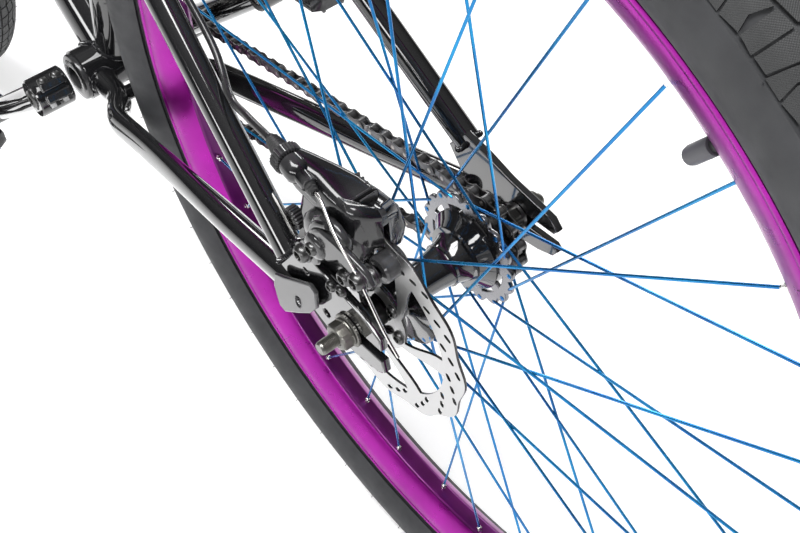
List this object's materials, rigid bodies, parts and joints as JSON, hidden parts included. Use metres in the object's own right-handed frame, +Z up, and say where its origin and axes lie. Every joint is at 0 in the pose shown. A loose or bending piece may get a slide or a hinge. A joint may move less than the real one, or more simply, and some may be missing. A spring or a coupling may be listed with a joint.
{
  "type": "bmx bike",
  "caption": "BMX bicycle with large wheels, purple rims, blue spokes, a gloss black frame and a cable-pulled rear disc brake",
  "frame": {"origin": "centre of the bottom bracket", "axes": "+X forward, +Y to the rider's left, +Z up"},
  "size_m": [1.802, 0.7696, 1.1226],
  "materials": {
    "gloss_black": "gloss",
    "black_alloy": "satin",
    "purple_alloy": "anodised",
    "blue_steel": "gloss",
    "tyre": "matte",
    "steel": "brushed",
    "dark_steel": "satin",
    "rubber": "matte",
    "seat_cover": "matte",
    "pad_compound": "matte"
  },
  "bodies": {
    "frame": {"head_tube": "gloss_black", "top_tube": "gloss_black", "down_tube": "gloss_black", "seat_tube": "gloss_black", "bottom_bracket_shell": "gloss_black", "chainstay_left": "gloss_black", "chainstay_right": "gloss_black", "seatstay_left": "gloss_black", "seatstay_right": "gloss_black", "dropout_left": "gloss_black", "dropout_right": "gloss_black", "seat_clamp": "black_alloy", "headset_bearing_upper": "steel", "headset_bearing_lower": "steel", "bottom_bracket_bearing_left": "steel", "bottom_bracket_bearing_right": "steel", "rear_axle": "dark_steel", "rear_axle_nut_left": "dark_steel", "rear_axle_nut_right": "dark_steel", "chain": "dark_steel", "caliper_bracket": "black_alloy", "caliper_body": "black_alloy", "brake_pad_inner": "pad_compound", "brake_housing": "rubber"},
    "steering": {"fork_steerer": "gloss_black", "fork_leg_left": "gloss_black", "fork_leg_right": "gloss_black", "stem": "black_alloy", "handlebar": "gloss_black", "handlebar_crossbar": "gloss_black", "grip_left": "rubber", "grip_right": "rubber", "brake_lever_bracket": "black_alloy", "front_axle": "dark_steel"},
    "front_wheel": {"front_hub": "gloss_black", "front_spokes_left": "blue_steel", "front_spokes_right": "blue_steel", "front_rim": "purple_alloy", "front_tyre": "tyre"},
    "rear_wheel": {"rear_hub": "gloss_black", "rear_spokes_left": "blue_steel", "rear_spokes_right": "blue_steel", "rear_rim": "purple_alloy", "rear_tyre": "tyre", "brake_rotor": "steel"},
    "driver": {"rear_cog": "black_alloy"},
    "crankset": {"crank_spindle": "dark_steel", "crank_arm_left": "gloss_black", "crank_arm_right": "gloss_black", "chainring": "black_alloy", "pedal_axle_left": "steel", "pedal_axle_right": "steel"},
    "pedal_left": {"pedal_left": "black_alloy"},
    "pedal_right": {"pedal_right": "black_alloy"},
    "brake_lever": {"brake_lever": "black_alloy"},
    "caliper_arm": {"caliper_arm": "black_alloy"},
    "brake_pad_outer": {"brake_pad_outer": "pad_compound"},
    "seat": {"seat_post": "gloss_black", "seat_base": "black_alloy", "seat_pad": "seat_cover"}
  },
  "joints": [
    {"name": "steering", "type": "hinge", "parent": "frame", "child": "steering", "pos_m": [0.44847, 0, 0.46523], "axis": [-0.309, 0, 0.9511], "range_deg": [-80, 80], "deforming": ["brake_housing"]},
    {"name": "front_wheel", "type": "hinge", "parent": "steering", "child": "front_wheel", "pos_m": [0.6231, 0, 0.0734], "axis": [0, 1, 0], "continuous": true},
    {"name": "rear_wheel", "type": "hinge", "parent": "frame", "child": "rear_wheel", "pos_m": [-0.4389, 0, 0.0734], "axis": [0, 1, 0], "continuous": true},
    {"name": "crank", "type": "hinge", "parent": "frame", "child": "crankset", "pos_m": [0, 0, 0], "axis": [0, 1, 0], "continuous": true},
    {"name": "driver", "type": "hinge", "parent": "frame", "child": "driver", "pos_m": [-0.4389, 0, 0.0734], "axis": [0, 1, 0], "continuous": true},
    {"name": "pedal_left", "type": "hinge", "parent": "crankset", "child": "pedal_left", "pos_m": [0.14422, 0.1415, -0.09912], "axis": [0, 1, 0], "continuous": true},
    {"name": "pedal_right", "type": "hinge", "parent": "crankset", "child": "pedal_right", "pos_m": [-0.14422, -0.1415, 0.09912], "axis": [0, 1, 0], "continuous": true},
    {"name": "brake_lever", "type": "hinge", "parent": "steering", "child": "brake_lever", "pos_m": [0.45938, -0.2047, 0.80551], "axis": [0, 0, -1], "range_deg": [0, 10], "stiffness_Nm_per_rad": 0.5, "springref_deg": -17.19},
    {"name": "caliper_arm", "type": "hinge", "parent": "frame", "child": "caliper_arm", "pos_m": [-0.4309, 0.0785, 0.1474], "axis": [0, 1, 0], "range_deg": [0, 15.1]},
    {"name": "brake_pad_outer", "type": "slide", "parent": "frame", "child": "brake_pad_outer", "axis": [0, -1, 0], "range_m": [0, 0.0004]},
    {"name": "seat_height", "type": "slide", "parent": "frame", "child": "seat", "axis": [-0.309, 0, 0.9511], "range_m": [-0.05, 0.04]}
  ],
  "couplings": [
    {"joint": "driver", "follows": "crank", "ratio": 2},
    {"joint": "caliper_arm", "follows": "brake_lever", "ratio": 1.5},
    {"joint": "brake_pad_outer", "follows": "brake_lever", "m_per_rad": 0.0022}
  ]
}
